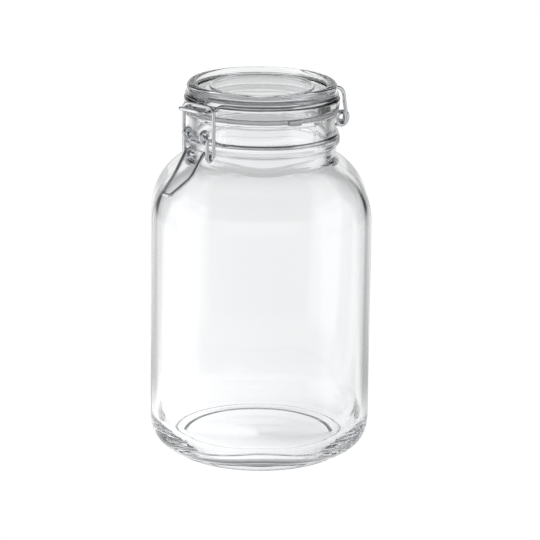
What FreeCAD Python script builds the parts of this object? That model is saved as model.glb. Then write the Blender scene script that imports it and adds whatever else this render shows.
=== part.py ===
"""A clip-top jar: a square-bodied clear glass jar with a round neck, a hinged glass lid on a
rubber ring, and a closure of four bent wires.

Millimetres, +Z up. The origin is on the neck's axis, on the surface that the jar stands on. The
latch is at the front, towards -Y, and the lid's hinge is at the back, towards +Y.
"""

import FreeCAD
import Part

import math
import os

import Sketcher
from FreeCAD import Placement, Rotation, Vector

DIMENSIONS = {
    # the glass jar's body: a square with heavily rounded corners, one of which is at the latch;
    # its shoulder curves in from the walls to a small flat under the neck, and its heel curves
    # in to a low round foot that is hollowed underneath
    "body_width": 142.0,
    "body_turn": 45.0,
    "shoulder_top": 199.2,
    "shoulder_flat_width": 57.0,
    "shoulder_flat_corner": 14.5,
    "heel_radius": 21.5,
    "foot_radius": 57.0,
    "foot_height": 3.0,
    "foot_root": 3.0,
    "foot_rounding": 1.8,
    "foot_fillet": 1.0,
    "wall": 3.8,
    "floor_height": 11.5,
    "inner_heel_radius": 17.0,
    "punt_radius": 50.0,
    "punt_bank": 3.0,
    "punt_bank_height": 1.0,
    "punt_depth": 2.0,
    "punt_rounding": 3.0,
    # the jar's neck: upwards from the shoulder, a round foot, a bead, a waist and the mouth's rim
    "bore_radius": 42.0,
    "neck_wall": 6.3,
    "neck_foot_height": 5.6,
    "neck_foot_fillet": 4.0,
    "bead_height": 5.5,
    "bead_reach": 2.1,
    "bead_rounding": 1.7,
    "bead_foot_fillet": 1.2,
    "waist_height": 13.0,
    "waist_depth": 1.3,
    "rim_height": 3.0,
    "rim_reach": 2.2,
    "rim_rounding": 0.8,
    "mouth_rounding": 1.0,
    # the rubber ring and its pull tab
    "gasket_thickness": 3.0,
    "gasket_bore_gap": 0.4,
    "gasket_reach": 0.4,
    "gasket_rounding": 0.5,
    "seal_gap": 0.05,
    "tab_width": 8.5,
    "tab_reach": 3.4,
    "tab_root": 1.5,
    "tab_direction": -23.0,
    "tab_rounding": 1.4,
    # the lid
    "flange_reach": 0.8,
    "flange_height": 5.9,
    "flange_rounding": 1.2,
    "groove_depth": 3.2,
    "groove_play": 0.6,
    "lid_rim_inset": 1.8,
    "lid_rim_width": 5.6,
    "lid_rim_height": 6.3,
    "lid_rim_rounding": 3.3,
    "lid_inner_rounding": 1.9,
    "lid_foot_fillet": 1.2,
    "lid_edge_rounding": 0.45,
    "panel_drop": 3.4,
    "panel_thickness": 5.2,
    "panel_ring_radius": 32.5,
    "panel_ring_width": 2.6,
    "panel_ring_height": 1.1,
    "locating_ring_width": 4.0,
    "locating_ring_slope": 2.0,
    "locating_ring_rise": 0.25,
    # the closure's wire, and how near its bends and turns come to what they fit
    "wire_diameter": 2.4,
    "bend_radius": 2.6,
    "ring_bend_radius": 3.0,
    "soft_bend_radius": 8.0,
    "seat_gap": 0.1,
    "swing_gap": 0.3,
    "coil_gap": 0.2,
    # the hinge at the back: the neck wire's coils, and the lid wire's arms and pins
    "hinge_reach": 20.2,
    "hinge_drop": 3.4,
    "hinge_loop_radius": 4.4,
    "hinge_loop_spacing": 16.0,
    "hinge_side_gap": 0.6,
    "coil_approach": 5.0,
    "coil_lead": 1.0,
    "hinge_pin_end": 4.0,
    "hinge_knee_drop": 5.6,
    "hinge_knee_inset": 4.4,
    "hinge_knee_radius": 7.0,
    # the latch at the front: the neck wire's eyes and the lever
    "pivot_reach": 10.4,
    "pivot_rise": 7.2,
    "pivot_loop_play": 0.9,
    "pivot_loop_spacing": 14.4,
    "pivot_pin_end": 5.0,
    "crank_offset": 2.8,
    "crank_drop": 13.2,
    "bail_pin_gap": 0.2,
    "eye_coil_gap": 0.1,
    "leg_start": 0.8,
    "leg_inset": 0.3,
    "leg_bend_reach": 13.8,
    "leg_bend_drop": 10.8,
    "leg_bend_radius": 22.0,
    "handle_reach": 29.2,
    "handle_drop": 20.9,
    "handle_tip_width": 6.6,
    "handle_tip_radius": 2.9,
    # the bail, and the lid wire's lip that it hooks over
    "bail_side_gap": 0.7,
    "bail_lean": 0.5,
    "bail_rise": 0.85,
    "bail_foot_radius": 2.1,
    "bail_corner_radius": 4.2,
    "bail_pin_end": 3.4,
    "latch_slack": 0.3,
    "lip_side_gap": 1.25,
    "lip_overhang": 8.2,
    "lip_drop": 1.8,
    "lip_seat_front": 3.8,
    "lip_seat_back": 3.0,
    "lip_corner_radius": 2.6,
}
LOOP_SHARE = 0.96  # of a loop's square path, the share of each half side that its bends take
RING_ARCS = 5  # arcs in each half of a wire ring
OVERCUT = 1.0  # how far a cut runs past the face that it opens
COIL_CORNERS = 7  # quarter turns of each hinge coil, and the run to the other one
CURL_END = 0.1  # how far below the pivot each curled eye ends, as a share of its radius
# where the lid's and neck's wires leave their rings, in degrees from the front
LID_WIRE_FRONT, LID_WIRE_BACK = 20.0, 156.0
NECK_WIRE_FRONT, NECK_WIRE_BACK = 16.0, 160.0
FITS = 1e-6  # the most that a bend may overrun its straight run, in millimetres


class Size:
    """A length or angle as a number and as the expression that gives it from the sheet."""

    def __init__(self, value, text):
        self.value = value
        self.text = text

    @staticmethod
    def of(other):
        return other if isinstance(other, Size) else Size(float(other), repr(float(other)))

    def __add__(self, other):
        other = Size.of(other)
        return Size(self.value + other.value, f"({self.text} + {other.text})")

    def __radd__(self, other):
        return Size.of(other) + self

    def __sub__(self, other):
        other = Size.of(other)
        return Size(self.value - other.value, f"({self.text} - {other.text})")

    def __rsub__(self, other):
        return Size.of(other) - self

    def __mul__(self, other):
        other = Size.of(other)
        return Size(self.value * other.value, f"({self.text} * {other.text})")

    def __rmul__(self, other):
        return Size.of(other) * self

    def __truediv__(self, other):
        other = Size.of(other)
        return Size(self.value / other.value, f"({self.text} / {other.text})")

    def __neg__(self):
        return Size(-self.value, f"(-{self.text})")


doc = FreeCAD.newDocument("clip_top_jar")


def make_sheet():
    """The spreadsheet of driving dimensions, and each one as a Size."""
    sheet = doc.addObject("Spreadsheet::Sheet", "dims")
    for row, (alias, number) in enumerate(DIMENSIONS.items(), start=1):
        sheet.set(f"A{row}", alias)
        sheet.set(f"B{row}", str(number))
        sheet.setAlias(f"B{row}", alias)
    doc.recompute()
    return {alias: Size(float(sheet.get(alias)), f"dims.{alias}") for alias in DIMENSIONS}


D = make_sheet()


# ---------------------------------------------------------------- places that pieces share

wire_radius = D["wire_diameter"] / 2

shoulder_radius = (D["body_width"] - D["shoulder_flat_width"]) / 2
body_corner_radius = D["shoulder_flat_corner"] + shoulder_radius
neck_radius = D["bore_radius"] + D["neck_wall"]
bead_radius = neck_radius + D["bead_reach"]
waist_radius = neck_radius - D["waist_depth"]
rim_radius = waist_radius + D["rim_reach"]
bead_bottom = D["shoulder_top"] + D["neck_foot_height"]
bead_top = bead_bottom + D["bead_height"]
rim_bottom = bead_top + D["waist_height"]
mouth_height = rim_bottom + D["rim_height"]

gasket_bore_radius = D["bore_radius"] + D["gasket_bore_gap"]
gasket_radius = rim_radius + D["gasket_reach"]
gasket_bottom = mouth_height + D["seal_gap"]
gasket_top = gasket_bottom + D["gasket_thickness"]

flange_radius = rim_radius + D["flange_reach"]
flange_bottom = gasket_top
flange_top = flange_bottom + D["flange_height"]
lid_waist_radius = flange_radius - D["groove_depth"]
lid_rim_radius = flange_radius - D["lid_rim_inset"]
lid_rim_bottom = flange_top + D["wire_diameter"] + D["groove_play"]
lid_top = lid_rim_bottom + D["lid_rim_height"]
panel_top = lid_top - D["panel_drop"]
panel_bottom = panel_top - D["panel_thickness"]
locating_ring_radius = gasket_bore_radius - D["swing_gap"]

neck_wire_radius = waist_radius + wire_radius + D["seat_gap"]
neck_wire_height = bead_top + wire_radius + D["seat_gap"]
lid_wire_radius = lid_waist_radius + wire_radius + D["seat_gap"]
lid_wire_height = (flange_top + lid_rim_bottom) / 2

hinge_reach = bead_radius + D["hinge_reach"]
hinge_height = neck_wire_height - D["hinge_drop"]
half_hinge_loops = D["hinge_loop_spacing"] / 2
half_hinge_arms = half_hinge_loops + D["wire_diameter"] + D["hinge_side_gap"]

pivot_reach = bead_radius + D["pivot_reach"]
pivot_height = neck_wire_height + D["pivot_rise"]
pivot_loop_radius = D["wire_diameter"] + D["pivot_loop_play"]
half_pivot_loops = D["pivot_loop_spacing"] / 2
half_crank = half_pivot_loops + D["wire_diameter"] + D["swing_gap"]
eye_reach = pivot_reach - D["crank_offset"]
eye_height = pivot_height - D["crank_drop"]
eye_radius = D["wire_diameter"] + D["bail_pin_gap"]
half_leg = half_crank - D["wire_diameter"] - D["eye_coil_gap"]

half_bail = half_crank + D["wire_diameter"] + D["bail_side_gap"]
half_lip = half_bail - D["wire_diameter"] - D["lip_side_gap"]
bail_top_reach = eye_reach + D["bail_lean"]
bail_top_height = lid_wire_height + D["bail_rise"]


# ---------------------------------------------------------------- sketches and features


def origin_plane(body, role):
    """One of a body's own origin planes."""
    return next(f for f in body.Origin.OriginFeatures if f.Role == role)


def new_body(name):
    body = doc.addObject("PartDesign::Body", name)
    body.Label = name
    return body


def new_sketch(body, name, role):
    sketch = body.newObject("Sketcher::SketchObject", name)
    sketch.AttachmentSupport = [(origin_plane(body, role), "")]
    sketch.MapMode = "FlatFace"
    return sketch


def bind(sketch, number, name, size):
    """Ties a sketch's constraint to the sheet."""
    sketch.renameConstraint(number, name)
    sketch.setExpression(f"Constraints.{name}", size.text)


def fix_point(sketch, geometry, end, name, across, up):
    """Places a point of a sketch at a distance across and up from the sketch's origin."""
    for kind, axis, size in (("DistanceX", "x", across), ("DistanceY", "y", up)):
        size = Size.of(size)
        number = sketch.addConstraint(
            Sketcher.Constraint(kind, -1, 1, geometry, end, size.value)
        )
        bind(sketch, number, f"{name}_{axis}", size)


def closed_profile(sketch, points):
    """A closed outline of straight lines through points of (radius, height)."""
    corners = [Vector(Size.of(a).value, Size.of(b).value, 0) for a, b in points]
    lines = [
        Part.LineSegment(a, b) for a, b in zip(corners, corners[1:] + corners[:1])
    ]
    ids = sketch.addGeometry(lines, False)
    for n, line in enumerate(ids):
        sketch.addConstraint(
            Sketcher.Constraint("Coincident", line, 2, ids[(n + 1) % len(ids)], 1)
        )
    for n, (across, up) in enumerate(points):
        fix_point(sketch, ids[n], 1, f"p{n}", across, up)


def circle(sketch, across, up, radius):
    """A full circle in a sketch."""
    middle = Vector(Size.of(across).value, Size.of(up).value, 0)
    shape = Part.Circle(middle, Vector(0, 0, 1), radius.value)
    number = sketch.addGeometry(shape, False)
    fix_point(sketch, number, 3, "middle", across, up)
    bind(
        sketch,
        sketch.addConstraint(Sketcher.Constraint("Radius", number, radius.value)),
        "radius",
        radius,
    )


def rounded_square(sketch, width, corner):
    """A square about the sketch's origin with rounded corners."""
    half = width.value / 2
    inner = half - corner.value
    lines, arcs = [], []
    for quarter in range(4):
        turn = Rotation(Vector(0, 0, 1), 90 * quarter)
        middle = turn.multVec(Vector(inner, inner, 0))
        start = math.radians(90 * quarter)
        lines.append(
            sketch.addGeometry(
                Part.LineSegment(
                    turn.multVec(Vector(half, -inner, 0)),
                    turn.multVec(Vector(half, inner, 0)),
                ),
                False,
            )
        )
        arcs.append(
            sketch.addGeometry(
                Part.ArcOfCircle(
                    Part.Circle(middle, Vector(0, 0, 1), corner.value),
                    start,
                    start + math.pi / 2,
                ),
                False,
            )
        )
    for n in range(4):
        sketch.addConstraint(Sketcher.Constraint("Tangent", lines[n], 2, arcs[n], 1))
        after = lines[(n + 1) % 4]
        sketch.addConstraint(Sketcher.Constraint("Tangent", arcs[n], 2, after, 1))
    for n in (1, 2, 3):
        sketch.addConstraint(Sketcher.Constraint("Equal", arcs[0], arcs[n]))
    sketch.addConstraint(Sketcher.Constraint("Vertical", lines[2]))
    sketch.addConstraint(Sketcher.Constraint("Horizontal", lines[3]))
    sketch.addConstraint(Sketcher.Constraint("Symmetric", lines[0], 1, lines[0], 2, -1))
    sketch.addConstraint(Sketcher.Constraint("Symmetric", lines[1], 1, lines[1], 2, -2))
    number = sketch.addConstraint(Sketcher.Constraint("Radius", arcs[0], corner.value))
    bind(sketch, number, "corner", corner)
    number = sketch.addConstraint(
        Sketcher.Constraint("DistanceX", -1, 1, lines[0], 1, half)
    )
    bind(sketch, number, "half_width", width / 2)
    number = sketch.addConstraint(
        Sketcher.Constraint("DistanceY", -1, 1, lines[1], 1, half)
    )
    bind(sketch, number, "half_depth", width / 2)


def pad(body, sketch, name, length):
    feature = body.newObject("PartDesign::Pad", name)
    feature.Profile = sketch
    feature.setExpression("Length", length.text)
    return feature


def revolve(body, sketch, name, cut=False):
    """A full turn of a sketch about its own vertical axis, added or cut away."""
    kind = "PartDesign::Groove" if cut else "PartDesign::Revolution"
    feature = body.newObject(kind, name)
    feature.Profile = sketch
    feature.ReferenceAxis = (sketch, ["V_Axis"])
    feature.Angle = 360
    return feature


def turned(body, name, points, cut=False):
    """A piece turned about Z from an outline of (radius, height)."""
    sketch = new_sketch(body, f"{name}_outline", "XZ_Plane")
    closed_profile(sketch, points)
    return revolve(body, sketch, name, cut)


def turned_groove(body, name, radius, height, size):
    """A round groove about Z, whose section is a circle."""
    sketch = new_sketch(body, f"{name}_outline", "XZ_Plane")
    circle(sketch, radius, height, size)
    before = body.Tip.Shape.Volume
    feature = revolve(body, sketch, name, cut=True)
    doc.recompute()
    assert feature.Shape.Volume < before, f"{name} cuts nothing"
    return feature


def circles_at(shape, places):
    """The names of a shape's whole circles about Z that lie at (radius, height) places."""
    names = []
    for radius, height in places:
        radius, height = Size.of(radius).value, Size.of(height).value
        found = []
        for number, edge in enumerate(shape.Edges, start=1):
            curve = edge.Curve
            if not isinstance(curve, Part.Circle):
                continue
            at_axis = math.hypot(curve.Center.x, curve.Center.y) < 1e-4
            near = abs(curve.Radius - radius) < 1e-3 and abs(curve.Center.z - height) < 1e-3
            if at_axis and near:
                found.append(f"Edge{number}")
        assert found, f"no circle of radius {radius} at height {height}"
        names += found
    return names


def edges_in_plane(shape, height):
    """The names of a shape's edges that lie in the level plane at a height."""
    height = Size.of(height).value
    names = []
    for number, edge in enumerate(shape.Edges, start=1):
        box = edge.BoundBox
        if abs(box.ZMin - height) < 1e-4 and abs(box.ZMax - height) < 1e-4:
            names.append(f"Edge{number}")
    assert names, f"no edges at height {height}"
    return names


def fillet(body, name, edges_of, radius):
    """Rounds the edges that edges_of picks from the body as it stands."""
    doc.recompute()
    base = body.Tip
    feature = body.newObject("PartDesign::Fillet", name)
    feature.Base = (base, edges_of(base.Shape))
    feature.Radius = Size.of(radius).value
    feature.setExpression("Radius", Size.of(radius).text)
    doc.recompute()
    return feature


def fillet_circles(body, name, places, radius):
    return fillet(body, name, lambda shape: circles_at(shape, places), radius)


# ---------------------------------------------------------------- bent wire


def place(across, forward, up):
    """A point from its distances to the right, towards the front, and up."""
    return Vector(Size.of(across).value, -Size.of(forward).value, Size.of(up).value)


def bent_path(points, radii):
    """Straight runs through points, joined by tangent arcs, one radius for each inner point."""
    edges, last = [], points[0]
    for before, point, after, radius in zip(points, points[1:], points[2:], radii):
        radius = radius.value
        back = (before - point).normalize()
        on = (after - point).normalize()
        half_turn = (math.pi - back.getAngle(on)) / 2
        reach = radius * math.tan(half_turn)
        start, end = point + back * reach, point + on * reach
        middle = (back + on).normalize()
        inside = point + middle * (radius / math.cos(half_turn) - radius)
        if (start - last).dot((point - before).normalize()) < -FITS:
            raise ValueError(f"the bend at {tuple(point)} doesn't fit its run")
        if (start - last).Length > FITS:
            edges.append(Part.LineSegment(last, start).toShape())
        edges.append(Part.Arc(start, inside, end).toShape())
        last = end
    edges.append(Part.LineSegment(last, points[-1]).toShape())
    return Part.Wire(edges)


def bent_wire(name, points, radii):
    """A round wire along a bent path, as an object of the document."""
    path = bent_path(points, radii)
    start = path.Edges[0]
    heading = start.tangentAt(start.FirstParameter)
    section = Part.Circle(points[0], heading, wire_radius.value).toShape()
    solid = path.makePipeShell([Part.Wire(section)], True, False)
    expected = math.pi * wire_radius.value**2 * path.Length
    assert abs(solid.Volume - expected) < 0.002 * expected, f"{name} isn't a plain sweep"
    wire = doc.addObject("Part::Feature", name)
    wire.Label = name
    wire.Shape = solid
    wire.Placement = Placement()
    return wire


def mirrored(points):
    """The same points on the other side of the jar's middle plane, in reverse order."""
    return [Vector(-p.x, p.y, p.z) for p in reversed(points)]


def ring_side(radius, height, first, last):
    """Corners of the tangent polygon about one side of a ring.

    The angles are measured from the front about Z, and the sides touch the ring at the first
    and the last of them."""
    step = (last - first) / RING_ARCS
    reach = radius.value / math.cos(math.radians(step) / 2)
    corners = []
    for n in range(RING_ARCS):
        angle = math.radians(first + (n + 0.5) * step)
        corners.append(place(reach * math.sin(angle), reach * math.cos(angle), height))
    return corners


def ring_exit(radius, height, across, angle):
    """Where the line that touches a ring at an angle from the front meets the line across."""
    angle = math.radians(angle)
    forward = (radius.value - across.value * math.sin(angle)) / math.cos(angle)
    return place(across, forward, height)


def edges_around(shape, radius, low, high):
    """The names of a shape's edges that lie on a cylinder about Z, between two heights."""
    radius, low, high = (Size.of(v).value for v in (radius, low, high))
    names = []
    for number, edge in enumerate(shape.Edges, start=1):
        first, last = edge.ParameterRange
        spots = [edge.valueAt(first + (last - first) * n / 4) for n in range(5)]
        round_it = all(abs(math.hypot(p.x, p.y) - radius) < 1e-2 for p in spots)
        inside = all(low < p.z < high for p in spots)
        level_or_wavy = edge.BoundBox.ZLength < (high - low) / 2
        if round_it and inside and level_or_wavy:
            names.append(f"Edge{number}")
    assert names, f"no edges around radius {radius}"
    return names


# ---------------------------------------------------------------- the pieces


def square_block(body, name, width, corner, bottom, height):
    """A rounded square block about Z, turned as the jar's body is."""
    plan = new_sketch(body, f"{name}_plan", "XY_Plane")
    rounded_square(plan, width, corner)
    plan.setExpression("AttachmentOffset.Base.z", Size.of(bottom).text)
    plan.setExpression("AttachmentOffset.Rotation.Angle", D["body_turn"].text)
    block = pad(body, plan, name, height)
    doc.recompute()
    return block


def make_jar_outside():
    """The jar's outer form: a square body, a wide shoulder and a round, beaded neck."""
    body = new_body("jar_outside")
    top = D["shoulder_top"]
    base = D["foot_height"]
    square_block(body, "body_block", D["body_width"], body_corner_radius, base, top - base)
    fillet(body, "shoulder", lambda s: edges_in_plane(s, top), shoulder_radius)
    fillet(body, "heel", lambda s: edges_in_plane(s, base), D["heel_radius"])

    foot_radius, foot_top = D["foot_radius"], base + D["foot_root"]
    turned(body, "foot", [(0, 0), (foot_radius, 0), (foot_radius, foot_top), (0, foot_top)])
    fillet(
        body,
        "foot_root",
        lambda s: edges_around(s, foot_radius, base - D["foot_fillet"], foot_top),
        D["foot_fillet"],
    )
    fillet_circles(body, "foot_rounding", [(foot_radius, 0)], D["foot_rounding"])

    neck_root = top - shoulder_radius / 2
    turned(
        body,
        "neck",
        [
            (0, neck_root),
            (neck_radius, neck_root),
            (neck_radius, bead_bottom),
            (bead_radius, bead_bottom),
            (bead_radius, bead_top),
            (waist_radius, bead_top),
            (waist_radius, rim_bottom),
            (rim_radius, rim_bottom),
            (rim_radius, mouth_height),
            (0, mouth_height),
        ],
    )
    fillet(
        body,
        "neck_foot",
        lambda s: edges_around(s, neck_radius, neck_root, bead_bottom - D["bead_foot_fillet"]),
        D["neck_foot_fillet"],
    )
    bead = [(bead_radius, bead_bottom), (bead_radius, bead_top)]
    fillet_circles(body, "bead_rounding", bead, D["bead_rounding"])
    fillet_circles(
        body, "bead_foot", [(neck_radius, bead_bottom)], D["bead_foot_fillet"]
    )
    rim = [(rim_radius, rim_bottom), (rim_radius, mouth_height)]
    fillet_circles(body, "rim_rounding", rim, D["rim_rounding"])
    fillet_circles(
        body, "rim_foot", [(waist_radius, rim_bottom)], D["rim_rounding"]
    )

    turned(
        body,
        "punt",
        [
            (0, -OVERCUT),
            (D["punt_radius"], -OVERCUT),
            (D["punt_radius"], 0),
            (D["punt_radius"] - D["punt_bank"], D["punt_bank_height"]),
            (0, D["punt_depth"]),
        ],
        cut=True,
    )
    fillet_circles(body, "standing_ring", [(D["punt_radius"], 0)], D["punt_rounding"])
    return body


def make_jar_cavity():
    """The room inside the jar, from its floor up through its mouth."""
    body = new_body("jar_cavity")
    top = D["shoulder_top"] - D["wall"]
    square_block(
        body,
        "room",
        D["body_width"] - 2 * D["wall"],
        body_corner_radius - D["wall"],
        D["floor_height"],
        top - D["floor_height"],
    )
    fillet(
        body,
        "inner_shoulder",
        lambda s: edges_in_plane(s, top),
        shoulder_radius - D["wall"],
    )
    fillet(
        body,
        "inner_heel",
        lambda s: edges_in_plane(s, D["floor_height"]),
        D["inner_heel_radius"],
    )
    bore_root = top - shoulder_radius / 2
    turned(
        body,
        "bore",
        [
            (0, bore_root),
            (D["bore_radius"], bore_root),
            (D["bore_radius"], mouth_height + OVERCUT),
            (0, mouth_height + OVERCUT),
        ],
    )
    fillet(
        body,
        "bore_foot",
        lambda s: edges_around(s, D["bore_radius"], bore_root, D["shoulder_top"]),
        D["neck_foot_fillet"] + D["wall"],
    )
    return body


def make_jar():
    """The glass jar."""
    outside, cavity = make_jar_outside(), make_jar_cavity()
    doc.recompute()
    hollow = doc.addObject("Part::Cut", "jar_hollow")
    hollow.Base = outside
    hollow.Tool = cavity
    doc.recompute()
    jar = doc.addObject("Part::Fillet", "jar")
    jar.Base = hollow
    mouth = circles_at(hollow.Shape, [(D["bore_radius"], mouth_height)])
    rounding = D["mouth_rounding"].value
    jar.Edges = [(int(name.removeprefix("Edge")), rounding, rounding) for name in mouth]
    jar.Label = "jar"
    return jar


def make_gasket():
    """The rubber ring between jar and lid, with the tab that pulls it off."""
    body = new_body("gasket")
    turned(
        body,
        "ring",
        [
            (gasket_bore_radius, gasket_bottom),
            (gasket_radius, gasket_bottom),
            (gasket_radius, gasket_top),
            (gasket_bore_radius, gasket_top),
        ],
    )
    doc.recompute()
    plan = new_sketch(body, "tab_plan", "XY_Plane")
    half, root = D["tab_width"] / 2, gasket_radius - D["tab_root"]
    tip = gasket_radius + D["tab_reach"]
    closed_profile(plan, [(root, -half), (tip, -half), (tip, half), (root, half)])
    plan.setExpression("AttachmentOffset.Base.z", gasket_bottom.text)
    plan.setExpression("AttachmentOffset.Rotation.Angle", D["tab_direction"].text)
    pad(body, plan, "tab", D["gasket_thickness"])
    doc.recompute()
    tip_corners = []
    for number, edge in enumerate(body.Tip.Shape.Edges, start=1):
        upright = abs(edge.BoundBox.ZLength - D["gasket_thickness"].value) < 1e-3
        spot = edge.CenterOfMass
        if upright and math.hypot(spot.x, spot.y) > tip.value - 0.01:
            tip_corners.append(f"Edge{number}")
    fillet(body, "tab_corners", lambda s: tip_corners, D["tab_rounding"])
    edge_circles = [(gasket_radius, gasket_bottom), (gasket_radius, gasket_top)]
    fillet(
        body,
        "gasket_edges",
        lambda s: [
            name
            for radius, height in edge_circles
            for name in edges_around(
                s, radius, height - D["gasket_rounding"], height + D["gasket_rounding"]
            )
        ],
        D["gasket_rounding"],
    )
    return body


def make_lid():
    """The glass lid: a thick flange, the wire's groove, and a raised rim about a sunken panel."""
    body = new_body("lid")
    ring = D["panel_ring_radius"]
    half_ring = D["panel_ring_width"] / 2
    ring_top = panel_top + D["panel_ring_height"]
    rim_inner = lid_rim_radius - D["lid_rim_width"]
    locating_inner = locating_ring_radius - D["locating_ring_width"]
    locating_ring_bottom = gasket_bottom + D["locating_ring_rise"]
    turned(
        body,
        "lid_form",
        [
            (0, panel_bottom),
            (locating_inner - D["locating_ring_slope"], panel_bottom),
            (locating_inner, locating_ring_bottom),
            (locating_ring_radius, locating_ring_bottom),
            (locating_ring_radius, flange_bottom),
            (flange_radius, flange_bottom),
            (flange_radius, flange_top),
            (lid_waist_radius, flange_top),
            (lid_waist_radius, lid_rim_bottom),
            (lid_rim_radius, lid_rim_bottom),
            (lid_rim_radius, lid_top),
            (rim_inner, lid_top),
            (rim_inner, panel_top),
            (ring + half_ring, panel_top),
            (ring + half_ring, ring_top),
            (ring - half_ring, ring_top),
            (ring - half_ring, panel_top),
            (0, panel_top),
        ],
    )
    fillet_circles(body, "rim_crown", [(lid_rim_radius, lid_top)], D["lid_rim_rounding"])
    fillet_circles(body, "rim_inside", [(rim_inner, lid_top)], D["lid_inner_rounding"])
    fillet_circles(body, "rim_foot_inside", [(rim_inner, panel_top)], D["lid_foot_fillet"])
    flange = [(flange_radius, flange_bottom), (flange_radius, flange_top)]
    fillet_circles(body, "flange_rounding", flange, D["flange_rounding"])
    fillet_circles(
        body, "rim_underside", [(lid_rim_radius, lid_rim_bottom)], D["lid_edge_rounding"]
    )
    steps = [(ring + half_ring, ring_top), (ring - half_ring, ring_top)]
    fillet_circles(body, "panel_ring_rounding", steps, D["lid_edge_rounding"])
    return body


def make_lid_wire():
    """The wire round the lid: a lip for the bail in front, and a hinge arm and pin each side behind."""
    lip_reach = bail_top_reach + D["lip_overhang"]
    lip_height = bail_top_height - D["lip_drop"]
    seat_height = bail_top_height - D["wire_diameter"] - D["swing_gap"] - D["latch_slack"]
    knee_height = lid_wire_height - D["hinge_knee_drop"]
    knee_reach = hinge_reach - D["hinge_knee_inset"]
    side = [
        place(half_lip, lip_reach, lip_height),
        place(half_lip, bail_top_reach + D["lip_seat_front"], seat_height),
        place(half_lip, bail_top_reach - D["lip_seat_back"], seat_height),
        ring_exit(lid_wire_radius, lid_wire_height, half_lip, LID_WIRE_FRONT),
        *ring_side(lid_wire_radius, lid_wire_height, LID_WIRE_FRONT, LID_WIRE_BACK),
        ring_exit(lid_wire_radius, lid_wire_height, half_hinge_arms, LID_WIRE_BACK),
        place(half_hinge_arms, -knee_reach, knee_height),
        place(half_hinge_arms, -hinge_reach, hinge_height),
        place(D["hinge_pin_end"], -hinge_reach, hinge_height),
    ]
    bends = [
        D["lip_corner_radius"],
        D["soft_bend_radius"],
        D["soft_bend_radius"],
        D["ring_bend_radius"],
        *[lid_wire_radius] * RING_ARCS,
        D["ring_bend_radius"],
        D["hinge_knee_radius"],
        D["bend_radius"],
    ]
    return bent_wire("lid_wire", mirrored(side) + side, bends[::-1] + bends)


def loop_corners(across, reach, height, radius, count, step):
    """Corners of a square coil at the back, about an axis along X.

    The first is at the top and away from the jar, and each next one is a quarter turn on and
    nearer the middle by a step."""
    ways = ((1, 1), (1, -1), (-1, -1), (-1, 1))
    corners = []
    for n in range(count):
        out, up = ways[n % 4]
        corners.append(place(across - n * step, -(reach + out * radius), height + up * radius))
    return corners


def make_neck_wire():
    """The wire round the neck: a curled eye each side in front, and a coil each side behind."""
    curl = pivot_loop_radius
    curl_side = [
        place(half_pivot_loops, pivot_reach - curl, pivot_height - CURL_END * curl),
        place(half_pivot_loops, pivot_reach - curl, pivot_height + curl),
        place(half_pivot_loops, pivot_reach + curl, pivot_height + curl),
        place(half_pivot_loops, pivot_reach + curl, pivot_height - curl),
        place(half_pivot_loops, pivot_reach - 2 * curl, pivot_height - curl),
    ]
    loop = D["hinge_loop_radius"]
    loop_height = hinge_height + loop - D["wire_diameter"] - D["swing_gap"]
    step = (D["wire_diameter"] + D["coil_gap"]) / 4
    coil = loop_corners(half_hinge_loops, hinge_reach, loop_height, loop, COIL_CORNERS, step)
    side = [
        *curl_side,
        ring_exit(neck_wire_radius, neck_wire_height, half_pivot_loops, NECK_WIRE_FRONT),
        *ring_side(neck_wire_radius, neck_wire_height, NECK_WIRE_FRONT, NECK_WIRE_BACK),
        ring_exit(neck_wire_radius, neck_wire_height, half_hinge_loops, NECK_WIRE_BACK),
        place(half_hinge_loops, -(bead_radius + D["coil_approach"]), neck_wire_height),
        place(half_hinge_loops, -(hinge_reach - loop - D["coil_lead"]), loop_height + loop),
        *coil,
    ]
    bends = [
        *[curl * LOOP_SHARE] * 3,
        D["soft_bend_radius"],
        D["ring_bend_radius"],
        *[neck_wire_radius] * RING_ARCS,
        D["ring_bend_radius"],
        D["soft_bend_radius"],
        D["soft_bend_radius"],
        *[loop * LOOP_SHARE] * (COIL_CORNERS - 1),
        D["bend_radius"],
    ]
    return bent_wire("neck_wire", side + mirrored(side), bends + bends[::-1])


def make_lever():
    """The lever: a pin in each neck eye, a crank, an eye for the bail, and a V-shaped handle."""
    eye = eye_radius
    drift = (half_crank - half_leg) / 3
    side = [
        place(D["pivot_pin_end"], pivot_reach, pivot_height),
        place(half_crank, pivot_reach, pivot_height),
        place(half_crank, eye_reach + eye + D["bail_pin_gap"], eye_height - eye),
        place(half_crank - drift, eye_reach - eye, eye_height - eye),
        place(half_crank - 2 * drift, eye_reach - eye, eye_height + eye),
        place(half_leg, eye_reach + eye + D["leg_start"], eye_height + eye),
        place(
            half_leg - D["leg_inset"],
            eye_reach + D["leg_bend_reach"],
            eye_height - D["leg_bend_drop"],
        ),
        place(
            D["handle_tip_width"] / 2,
            eye_reach + D["handle_reach"],
            eye_height - D["handle_drop"],
        ),
    ]
    bends = [
        D["bend_radius"],
        *[eye * LOOP_SHARE] * 3,
        D["bend_radius"],
        D["leg_bend_radius"],
        D["handle_tip_radius"],
    ]
    return bent_wire("lever", side + mirrored(side), bends + bends[::-1])


def make_bail():
    """The bail: an upright frame hooked over the lid wire's lip, its pins in the lever's eyes."""
    side = [
        place(D["bail_pin_end"], eye_reach, eye_height),
        place(half_bail, eye_reach, eye_height),
        place(half_bail, bail_top_reach, bail_top_height),
    ]
    bends = [D["bail_foot_radius"], D["bail_corner_radius"]]
    return bent_wire("bail", side + mirrored(side), bends + bends[::-1])


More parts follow.
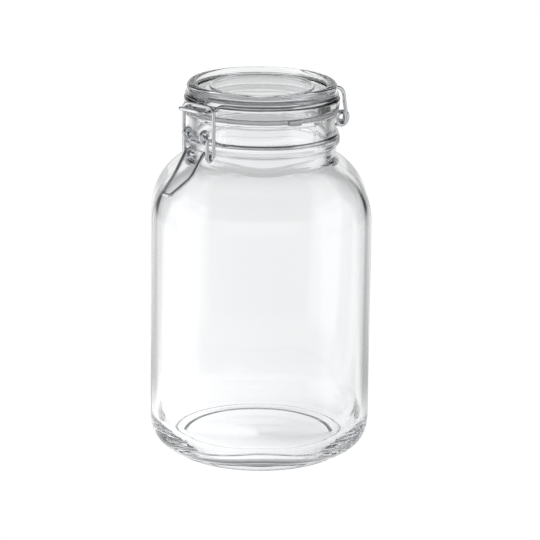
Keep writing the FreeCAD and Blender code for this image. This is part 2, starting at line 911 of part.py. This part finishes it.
def check(piece):
    """Refuses a piece that failed to build."""
    states = set(piece.State)
    assert not states & {"Invalid", "Error"}, f"{piece.Label} is {states}"
    assert not piece.Shape.isNull() and piece.Shape.isValid(), f"{piece.Label} isn't valid"
    assert len(piece.Shape.Solids) == 1, f"{piece.Label} is {len(piece.Shape.Solids)} solids"


def main():
    pieces = [
        make_jar(),
        make_gasket(),
        make_lid(),
        make_lid_wire(),
        make_neck_wire(),
        make_lever(),
        make_bail(),
    ]
    doc.recompute()
    for thing in doc.Objects:
        assert not set(thing.State) & {"Invalid", "Error"}, f"{thing.Name} is {thing.State}"
    os.makedirs("parts", exist_ok=True)
    for piece in pieces:
        check(piece)
    for piece in pieces:
        piece.Shape.exportStep(f"parts/{piece.Label}.step")
        print(f"{piece.Label}: {piece.Shape.Volume / 1000:.2f} cm3")


main()
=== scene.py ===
"""A clip-top glass storage jar on a white sweep: clear glass jar and lid, a pale rubber ring, and
a closure of bright bent wire. Metres, +Z up, the latch towards -Y."""

import math

import bmesh
import bpy
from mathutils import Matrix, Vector

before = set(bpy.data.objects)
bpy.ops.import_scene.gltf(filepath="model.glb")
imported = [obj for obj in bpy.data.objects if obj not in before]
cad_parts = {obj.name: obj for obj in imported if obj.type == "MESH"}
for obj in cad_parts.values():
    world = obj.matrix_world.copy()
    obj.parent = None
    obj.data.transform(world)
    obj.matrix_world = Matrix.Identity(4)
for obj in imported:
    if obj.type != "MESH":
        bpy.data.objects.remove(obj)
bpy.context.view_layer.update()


# ---------------------------------------------------------------- materials

GLASS_TINT = (0.985, 0.992, 0.995, 1)
GLASS_IOR = 1.5
RUBBER_IOR = 1.41
RUBBER_CLEARNESS = 0.7
# what thick glass takes from the light, for each metre that it passes through
GLASS_DEPTH_COLOUR = (0.5, 0.53, 0.58, 1)
GLASS_DEPTH = 3.0
# how many finer waves lie on the slow ones, and how strong each is beside the last
WAVE_RIPPLE = 1.5
WAVE_RIPPLE_SHARE = 0.35
# the part of a noise's range that its values mostly fill
NOISE_LOW, NOISE_HIGH = 0.3, 0.7


def new_material(name):
    """A material with its own Principled shader, and its node tree and shader."""
    material = bpy.data.materials.new(name)
    material.use_nodes = True
    return material, material.node_tree, material.node_tree.nodes["Principled BSDF"]


def new_group(name, takes, gives):
    """A node group with number inputs and their defaults, and its output sockets by kind."""
    tree = bpy.data.node_groups.new(name, "ShaderNodeTree")
    for socket_name, value in takes:
        socket = tree.interface.new_socket(socket_name, in_out="INPUT", socket_type="NodeSocketFloat")
        socket.default_value = value
    for socket_name, kind in gives:
        tree.interface.new_socket(socket_name, in_out="OUTPUT", socket_type=kind)
    return tree, tree.nodes.new("NodeGroupInput"), tree.nodes.new("NodeGroupOutput")


def place_group(tree, group, **values):
    """Puts a node group in a tree, with its own values."""
    node = tree.nodes.new("ShaderNodeGroup")
    node.node_tree = group
    for name, value in values.items():
        node.inputs[name.replace("_", " ")].default_value = value
    return node


def glass_wave_group():
    """Bump for pressed glass: slow waves of the mould and a little fine ripple."""
    takes = (("Wave Size", 18.0), ("Wave Strength", 0.1), ("Distance", 0.001))
    tree, inputs, outputs = new_group("glass_wave", takes, (("Normal", "NodeSocketVector"),))
    place = tree.nodes.new("ShaderNodeTexCoord")
    noise = tree.nodes.new("ShaderNodeTexNoise")
    noise.inputs["Detail"].default_value = WAVE_RIPPLE
    noise.inputs["Roughness"].default_value = WAVE_RIPPLE_SHARE
    bump = tree.nodes.new("ShaderNodeBump")
    link = tree.links.new
    link(place.outputs["Object"], noise.inputs["Vector"])
    link(inputs.outputs["Wave Size"], noise.inputs["Scale"])
    link(noise.outputs["Fac"], bump.inputs["Height"])
    link(inputs.outputs["Wave Strength"], bump.inputs["Strength"])
    link(inputs.outputs["Distance"], bump.inputs["Distance"])
    link(bump.outputs["Normal"], outputs.inputs["Normal"])
    return tree


GLASS_WAVE = glass_wave_group()


def clear_glass(name, wave_size, wave_strength):
    """Colourless soda-lime glass with the slow waves of its mould."""
    material, tree, shader = new_material(name)
    shader.inputs["Base Color"].default_value = GLASS_TINT
    shader.inputs["Roughness"].default_value = 0.0
    shader.inputs["IOR"].default_value = GLASS_IOR
    shader.inputs["Transmission Weight"].default_value = 1.0
    depth = tree.nodes.new("ShaderNodeVolumeAbsorption")
    depth.inputs["Color"].default_value = GLASS_DEPTH_COLOUR
    depth.inputs["Density"].default_value = GLASS_DEPTH
    tree.links.new(depth.outputs["Volume"], tree.nodes["Material Output"].inputs["Volume"])
    waves = place_group(tree, GLASS_WAVE, Wave_Size=wave_size, Wave_Strength=wave_strength)
    tree.links.new(waves.outputs["Normal"], shader.inputs["Normal"])
    return material


def surface_noise_group():
    """A noise in the object's own place, for the fine unevenness of a finish."""
    takes = (("Size", 400.0), ("Fineness", 3.0), ("Low", 0.0), ("High", 1.0))
    tree, inputs, outputs = new_group("surface_noise", takes, (("Value", "NodeSocketFloat"),))
    place = tree.nodes.new("ShaderNodeTexCoord")
    noise = tree.nodes.new("ShaderNodeTexNoise")
    spread = tree.nodes.new("ShaderNodeMapRange")
    spread.inputs["From Min"].default_value = NOISE_LOW
    spread.inputs["From Max"].default_value = NOISE_HIGH
    link = tree.links.new
    link(place.outputs["Object"], noise.inputs["Vector"])
    link(inputs.outputs["Size"], noise.inputs["Scale"])
    link(inputs.outputs["Fineness"], noise.inputs["Detail"])
    link(noise.outputs["Fac"], spread.inputs["Value"])
    link(inputs.outputs["Low"], spread.inputs["To Min"])
    link(inputs.outputs["High"], spread.inputs["To Max"])
    link(spread.outputs["Result"], outputs.inputs["Value"])
    return tree


SURFACE_NOISE = surface_noise_group()


def surface_bump(tree, shader, size, fineness, strength, depth):
    """Gives a shader fine relief."""
    relief = place_group(tree, SURFACE_NOISE, Size=size, Fineness=fineness)
    bump = tree.nodes.new("ShaderNodeBump")
    bump.inputs["Strength"].default_value = strength
    bump.inputs["Distance"].default_value = depth
    tree.links.new(relief.outputs["Value"], bump.inputs["Height"])
    tree.links.new(bump.outputs["Normal"], shader.inputs["Normal"])


def two_tone(tree, shader, size, fineness, first, second):
    """Gives a shader a base colour that wanders between two near shades."""
    share = place_group(tree, SURFACE_NOISE, Size=size, Fineness=fineness)
    mix = tree.nodes.new("ShaderNodeMix")
    mix.data_type = "RGBA"
    mix.inputs["A"].default_value = (*first, 1)
    mix.inputs["B"].default_value = (*second, 1)
    tree.links.new(share.outputs["Value"], mix.inputs["Factor"])
    tree.links.new(mix.outputs["Result"], shader.inputs["Base Color"])


def uneven_roughness(tree, shader, size, fineness, low, high):
    """Gives a shader a roughness that wanders between two values."""
    dulling = place_group(tree, SURFACE_NOISE, Size=size, Fineness=fineness, Low=low, High=high)
    tree.links.new(dulling.outputs["Value"], shader.inputs["Roughness"])


def bright_wire():
    """Bright steel wire, with faint dull patches and a fine unevenness."""
    material, tree, shader = new_material("bright_wire")
    shader.inputs["Metallic"].default_value = 1.0
    light, dull = (0.56, 0.57, 0.585), (0.46, 0.47, 0.485)
    two_tone(tree, shader, size=260.0, fineness=3.0, first=light, second=dull)
    uneven_roughness(tree, shader, size=350.0, fineness=4.0, low=0.05, high=0.16)
    surface_bump(tree, shader, size=900.0, fineness=2.0, strength=0.12, depth=0.0001)
    return material


def pale_rubber():
    """Milky, half-clear rubber with a matt, slightly uneven skin."""
    material, tree, shader = new_material("pale_rubber")
    shader.inputs["Transmission Weight"].default_value = RUBBER_CLEARNESS
    shader.inputs["IOR"].default_value = RUBBER_IOR
    light, dull = (0.93, 0.935, 0.94), (0.85, 0.86, 0.87)
    two_tone(tree, shader, size=180.0, fineness=3.0, first=light, second=dull)
    uneven_roughness(tree, shader, size=500.0, fineness=3.0, low=0.28, high=0.45)
    surface_bump(tree, shader, size=700.0, fineness=2.0, strength=0.2, depth=0.0002)
    return material


def dress(node, material):
    """Gives a CAD node a material."""
    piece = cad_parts[node]
    piece.data.materials.clear()
    piece.data.materials.append(material)


dress("jar", clear_glass("jar_glass", wave_size=14.0, wave_strength=0.12))
dress("lid", clear_glass("lid_glass", wave_size=30.0, wave_strength=0.1))
dress("gasket", pale_rubber())
wire = bright_wire()
for name in ("lid_wire", "neck_wire", "lever", "bail"):
    dress(name, wire)


# ---------------------------------------------------------------- floor, light and camera

CAMERA_PLACE = Vector((1.326, -1.437, 0.6673))
CAMERA_TARGET = Vector((0, 0, 0.1218))
CAMERA_ROLL = 0.68  # degrees
LENS, SENSOR_WIDTH = 208.0, 36.0  # millimetres
SHIFT_X, SHIFT_Y = 0.0186, -0.0082
FAR_SIDE = Vector((-CAMERA_PLACE.x, -CAMERA_PLACE.y, 0)).normalized()
RIGHT_SIDE = Vector((FAR_SIDE.y, -FAR_SIDE.x, 0))

# brightness round the jar, as stops of (degrees from the far side, value): the room by height,
# and the floor by distance
LOW_ROOM = ((0, 0.88), (22, 0.88), (32, 0.04), (64, 0.04), (74, 1.4), (124, 1.4), (136, 0.7), (180, 1.0))
MID_ROOM = ((0, 0.1), (40, 0.06), (68, 0.1), (80, 1.0), (122, 1.0), (140, 0.2), (180, 0.12))
HIGH_ROOM = ((0, 0.05), (22, 0.2), (50, 0.6), (90, 0.4), (140, 0.1), (180, 0.05))
CEILING = 0.35
NEAR_FLOOR = ((0, 0.95), (24, 0.94), (40, 0.56), (62, 0.56), (76, 1.5), (124, 1.5), (138, 0.75), (180, 0.65))
FAR_FLOOR = ((0, 0.56), (22, 0.56), (32, 0.04), (64, 0.04), (74, 1.25), (124, 1.25), (138, 0.7), (180, 0.8))
UNDER_FLOOR = 1.06  # all over, under and close round the jar
RAMP_TOP = 3.0  # the brightness at the top of a ramp
HALF_TURN = 180  # the degrees that a ramp spans
# heights in degrees, in pairs, over which LOW_ROOM goes to MID_ROOM, to HIGH_ROOM and to CEILING
ROOM_HEIGHTS = ((16, 24), (32, 42), (58, 70))
# distances from the jar's axis, in metres, over which one part of the floor goes to the next
UNDER_TO_NEAR = (0.08, 0.2)
NEAR_TO_FAR = (0.6, 1.6)
LEFT_GAIN = 0.18  # how much brighter the light is at the left
SEEN_WHITE = 1.02  # the floor and room as the camera itself sees them
FLOOR_RADIUS, FLOOR_SIDES = 12.0, 96
FLOOR_CLEARANCE = 0.0005  # keeps the floor's face apart from the foot's


def round_the_jar_group():
    """Turn is how far a direction is from the far side, from 0 to 1. Left is 1 at the left and -1
    at the right. Height is in degrees."""
    gives = tuple((name, "NodeSocketFloat") for name in ("Turn", "Left", "Height"))
    tree, inputs, outputs = new_group("round_the_jar", (), gives)
    tree.interface.new_socket("Vector", in_out="INPUT", socket_type="NodeSocketVector")
    level = tree.nodes.new("ShaderNodeVectorMath")
    level.operation = "MULTIPLY"
    level.inputs[1].default_value = (1, 1, 0)
    flat = tree.nodes.new("ShaderNodeVectorMath")
    flat.operation = "NORMALIZE"
    link = tree.links.new
    link(inputs.outputs["Vector"], level.inputs[0])
    link(level.outputs["Vector"], flat.inputs[0])
    angles = []
    for way in (FAR_SIDE, -RIGHT_SIDE):
        dot = tree.nodes.new("ShaderNodeVectorMath")
        dot.operation = "DOT_PRODUCT"
        dot.inputs[1].default_value = way
        link(flat.outputs["Vector"], dot.inputs[0])
        angles.append(dot.outputs["Value"])
    turn = tree.nodes.new("ShaderNodeMath")
    turn.operation = "ARCCOSINE"
    share = tree.nodes.new("ShaderNodeMath")
    share.operation = "DIVIDE"
    share.inputs[1].default_value = math.pi
    unit = tree.nodes.new("ShaderNodeVectorMath")
    unit.operation = "NORMALIZE"
    split = tree.nodes.new("ShaderNodeSeparateXYZ")
    height = tree.nodes.new("ShaderNodeMath")
    height.operation = "ARCSINE"
    degrees = tree.nodes.new("ShaderNodeMath")
    degrees.operation = "DEGREES"
    link(angles[0], turn.inputs[0])
    link(turn.outputs["Value"], share.inputs[0])
    link(share.outputs["Value"], outputs.inputs["Turn"])
    link(angles[1], outputs.inputs["Left"])
    link(inputs.outputs["Vector"], unit.inputs[0])
    link(unit.outputs["Vector"], split.inputs["Vector"])
    link(split.outputs["Z"], height.inputs[0])
    link(height.outputs["Value"], degrees.inputs[0])
    link(degrees.outputs["Value"], outputs.inputs["Height"])
    return tree


ROUND_THE_JAR = round_the_jar_group()


def brightness_ramp(tree, turn, stops):
    """A smooth ramp of brightness round the jar, from stops of (degrees, value)."""
    ramp = tree.nodes.new("ShaderNodeValToRGB")
    ramp.color_ramp.interpolation = "EASE"
    elements = ramp.color_ramp.elements
    for element, (place, value) in zip(elements, (stops[0], stops[-1])):
        element.position, element.color = place / HALF_TURN, (*[value / RAMP_TOP] * 3, 1)
    for place, value in stops[1:-1]:
        elements.new(place / HALF_TURN).color = (*[value / RAMP_TOP] * 3, 1)
    full = tree.nodes.new("ShaderNodeMath")
    full.operation = "MULTIPLY"
    full.inputs[1].default_value = RAMP_TOP
    tree.links.new(turn, ramp.inputs["Fac"])
    tree.links.new(ramp.outputs["Color"], full.inputs[0])
    return full.outputs["Value"]


def blend(tree, by, span, first, second):
    """Goes from one value to another as a third goes over a span."""
    share = tree.nodes.new("ShaderNodeMapRange")
    share.interpolation_type = "SMOOTHSTEP"
    share.inputs["From Min"].default_value, share.inputs["From Max"].default_value = span
    mix = tree.nodes.new("ShaderNodeMix")
    mix.data_type = "FLOAT"
    tree.links.new(by, share.inputs["Value"])
    tree.links.new(share.outputs["Result"], mix.inputs["Factor"])
    for socket, value in ((mix.inputs["A"], first), (mix.inputs["B"], second)):
        if isinstance(value, (int, float)):
            socket.default_value = value
        else:
            tree.links.new(value, socket)
    return mix.outputs["Result"]


def light_strength(tree, value, left, strength):
    """Sets a strength: white to the camera, and the value to all else, brighter at the left."""
    gain = tree.nodes.new("ShaderNodeMath")
    gain.operation = "MULTIPLY_ADD"
    gain.inputs[1].default_value = LEFT_GAIN
    gain.inputs[2].default_value = 1.0
    lit = tree.nodes.new("ShaderNodeMath")
    lit.operation = "MULTIPLY"
    path = tree.nodes.new("ShaderNodeLightPath")
    seen = tree.nodes.new("ShaderNodeMix")
    seen.data_type = "FLOAT"
    seen.inputs["B"].default_value = SEEN_WHITE
    link = tree.links.new
    link(left, gain.inputs[0])
    link(value, lit.inputs[0])
    link(gain.outputs["Value"], lit.inputs[1])
    link(lit.outputs["Value"], seen.inputs["A"])
    link(path.outputs["Is Camera Ray"], seen.inputs["Factor"])
    link(seen.outputs["Result"], strength)


def make_floor():
    """A wide white floor, brightest at the jar's two sides."""
    mesh = bmesh.new()
    bmesh.ops.create_circle(mesh, cap_ends=True, segments=FLOOR_SIDES, radius=FLOOR_RADIUS)
    data = bpy.data.meshes.new("floor")
    mesh.to_mesh(data)
    mesh.free()
    floor = bpy.data.objects.new("floor", data)
    bpy.context.scene.collection.objects.link(floor)
    material, tree, shader = new_material("white_floor")
    tree.nodes.remove(shader)
    place = tree.nodes.new("ShaderNodeTexCoord")
    around = place_group(tree, ROUND_THE_JAR)
    distance = tree.nodes.new("ShaderNodeVectorMath")
    distance.operation = "LENGTH"
    glow = tree.nodes.new("ShaderNodeEmission")
    link = tree.links.new
    link(place.outputs["Object"], around.inputs["Vector"])
    link(place.outputs["Object"], distance.inputs[0])
    turn, left = around.outputs["Turn"], around.outputs["Left"]
    near = brightness_ramp(tree, turn, NEAR_FLOOR)
    reach = distance.outputs["Value"]
    middle = blend(tree, reach, UNDER_TO_NEAR, UNDER_FLOOR, near)
    far = brightness_ramp(tree, turn, FAR_FLOOR)
    value = blend(tree, reach, NEAR_TO_FAR, middle, far)
    light_strength(tree, value, left, glow.inputs["Strength"])
    link(glow.outputs["Emission"], tree.nodes["Material Output"].inputs["Surface"])
    data.materials.append(material)
    floor.location.z = -FLOOR_CLEARANCE


def make_world():
    """A studio: low down, a lit far wall between two dark cards, and light sides; dim above."""
    world = bpy.data.worlds.new("studio")
    bpy.context.scene.world = world
    world.use_nodes = True
    tree = world.node_tree
    background = tree.nodes["Background"]
    background.inputs["Color"].default_value = (1, 1, 1, 1)
    place = tree.nodes.new("ShaderNodeTexCoord")
    around = place_group(tree, ROUND_THE_JAR)
    tree.links.new(place.outputs["Generated"], around.inputs["Vector"])
    turn, height = around.outputs["Turn"], around.outputs["Height"]
    value = brightness_ramp(tree, turn, LOW_ROOM)
    layers = (brightness_ramp(tree, turn, MID_ROOM), brightness_ramp(tree, turn, HIGH_ROOM), CEILING)
    for span, layer in zip(ROOM_HEIGHTS, layers):
        value = blend(tree, height, span, value, layer)
    light_strength(tree, value, around.outputs["Left"], background.inputs["Strength"])


def aim(thing, target):
    """Turns an object's -Z towards a point, with its +Y up."""
    direction = Vector(target) - thing.location
    thing.rotation_euler = direction.to_track_quat("-Z", "Y").to_euler()


def make_camera():
    """A long lens a little above the lid, seeing the jar's flat side with the latch at the left."""
    data = bpy.data.cameras.new("camera")
    data.sensor_width = SENSOR_WIDTH
    data.lens = LENS
    data.shift_x = SHIFT_X
    data.shift_y = SHIFT_Y
    camera = bpy.data.objects.new("camera", data)
    bpy.context.scene.collection.objects.link(camera)
    camera.location = CAMERA_PLACE
    aim(camera, CAMERA_TARGET)
    camera.rotation_euler.rotate_axis("Z", math.radians(CAMERA_ROLL))
    bpy.context.scene.camera = camera


# light passes through many walls of glass before it leaves the heel and the lid
LIGHT_BOUNCES = 40

make_floor()
make_world()
make_camera()
cycles = bpy.context.scene.cycles
cycles.max_bounces = LIGHT_BOUNCES
cycles.transmission_bounces = LIGHT_BOUNCES
cycles.glossy_bounces = LIGHT_BOUNCES
bpy.context.scene.view_settings.view_transform = "Standard"
